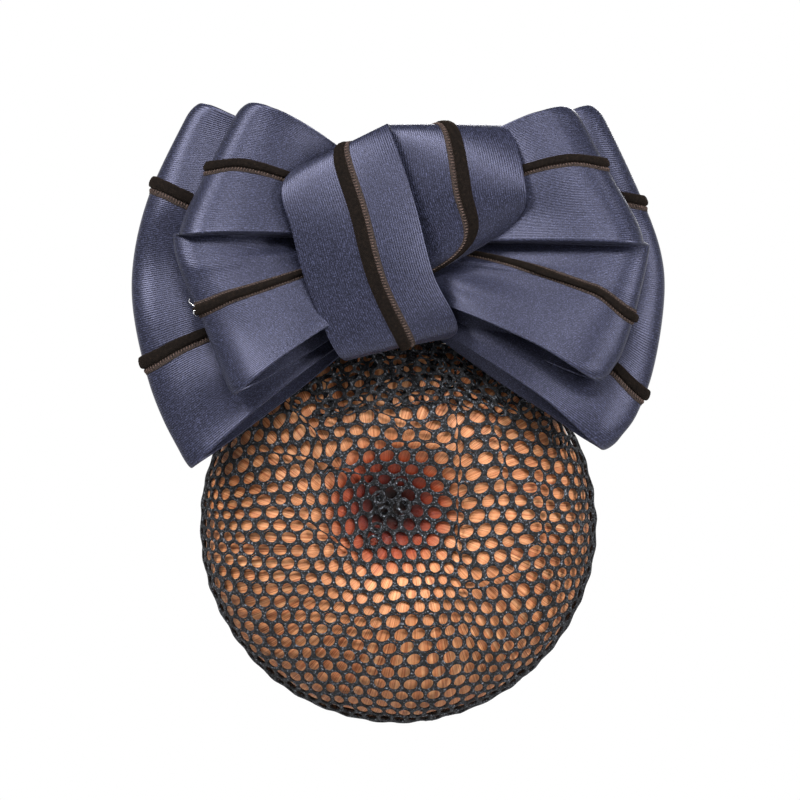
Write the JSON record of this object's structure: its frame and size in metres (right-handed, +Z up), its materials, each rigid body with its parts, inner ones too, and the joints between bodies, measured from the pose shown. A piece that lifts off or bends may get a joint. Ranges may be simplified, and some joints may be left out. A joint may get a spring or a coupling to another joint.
{
  "type": "hair bow barrette with snood net",
  "caption": "Layered satin ribbon hair bow with velvet stripes and a wide crossed knot, sewn to a curved spring barrette, with a knitted snood net over a removable bun.",
  "frame": {"origin": "centre of the gap between the tension bar and the clasp arm, where the hair is gripped", "axes": "+Z up, -Y towards the viewer out of the bow's face, +Y towards the wearer's head, +X to the viewer's right"},
  "size_m": [0.1306, 0.056, 0.1527],
  "materials": {
    "satin": "blue-grey satin ribbon with fine cross ribs and a soft sheen",
    "velvet": "near-black brown velvet with a stitched brown selvedge",
    "thread": "dark sewing thread",
    "felt": "stiff felt pad",
    "tape": "black woven tape",
    "net_yarn": "charcoal knitted yarn with round holes",
    "elastic": "covered elastic cord",
    "hair": "orange-brown hair in fine strands",
    "bun_sponge": "open mesh sponge ring",
    "steel": "bright nickel plate",
    "spring_steel": "brushed spring steel"
  },
  "bodies": {
    "bow": {"outer_band": "satin", "outer_velvet_upper": "velvet", "outer_velvet_lower": "velvet", "inner_band": "satin", "inner_velvet_upper": "velvet", "inner_velvet_lower": "velvet", "knot_band_front": "satin", "knot_velvet_front": "velvet", "knot_band_side": "satin", "knot_velvet_side": "velvet", "binding_thread": "thread", "backing_pad": "felt", "header_tape": "tape", "sewing_stitches": "thread", "net": "net_yarn", "net_gather": "net_yarn", "net_elastic": "elastic", "barrette_plate": "steel", "hinge_pin": "steel"},
    "clasp": {"clasp_arm": "steel"},
    "spring_bar": {"tension_bar": "spring_steel"},
    "wing_upper": {"release_wing_upper": "steel"},
    "wing_lower": {"release_wing_lower": "steel"},
    "bun": {"bun_hair": "hair", "bun_doughnut": "bun_sponge"}
  },
  "joints": [
    {"name": "clasp_hinge", "type": "hinge", "parent": "bow", "child": "clasp", "pos_m": [-0.0425, 0.00801, 0], "axis": [0, 0, 1], "range_deg": [0, 70]},
    {"name": "bar_hinge", "type": "hinge", "parent": "bow", "child": "spring_bar", "pos_m": [-0.0425, 0.00801, 0], "axis": [0, 0, 1], "range_deg": [0, 22]},
    {"name": "wing_pinch_upper", "type": "hinge", "parent": "clasp", "child": "wing_upper", "pos_m": [0.0285, 0.00592, 0.0026], "axis": [-0.189, 0.982, 0], "range_deg": [0, 4], "stiffness_Nm_per_rad": 0.1},
    {"name": "wing_pinch_lower", "type": "hinge", "parent": "clasp", "child": "wing_lower", "pos_m": [0.0285, 0.00592, -0.0026], "axis": [-0.189, 0.982, 0], "range_deg": [-4, 0], "stiffness_Nm_per_rad": 0.1},
    {"name": "bun_slide", "type": "slide", "parent": "bow", "child": "bun", "axis": [0, 1, 0], "range_m": [0, 0.06]}
  ],
  "couplings": [
    {"joint": "bar_hinge", "follows": "clasp_hinge", "ratio": 0.3}
  ]
}
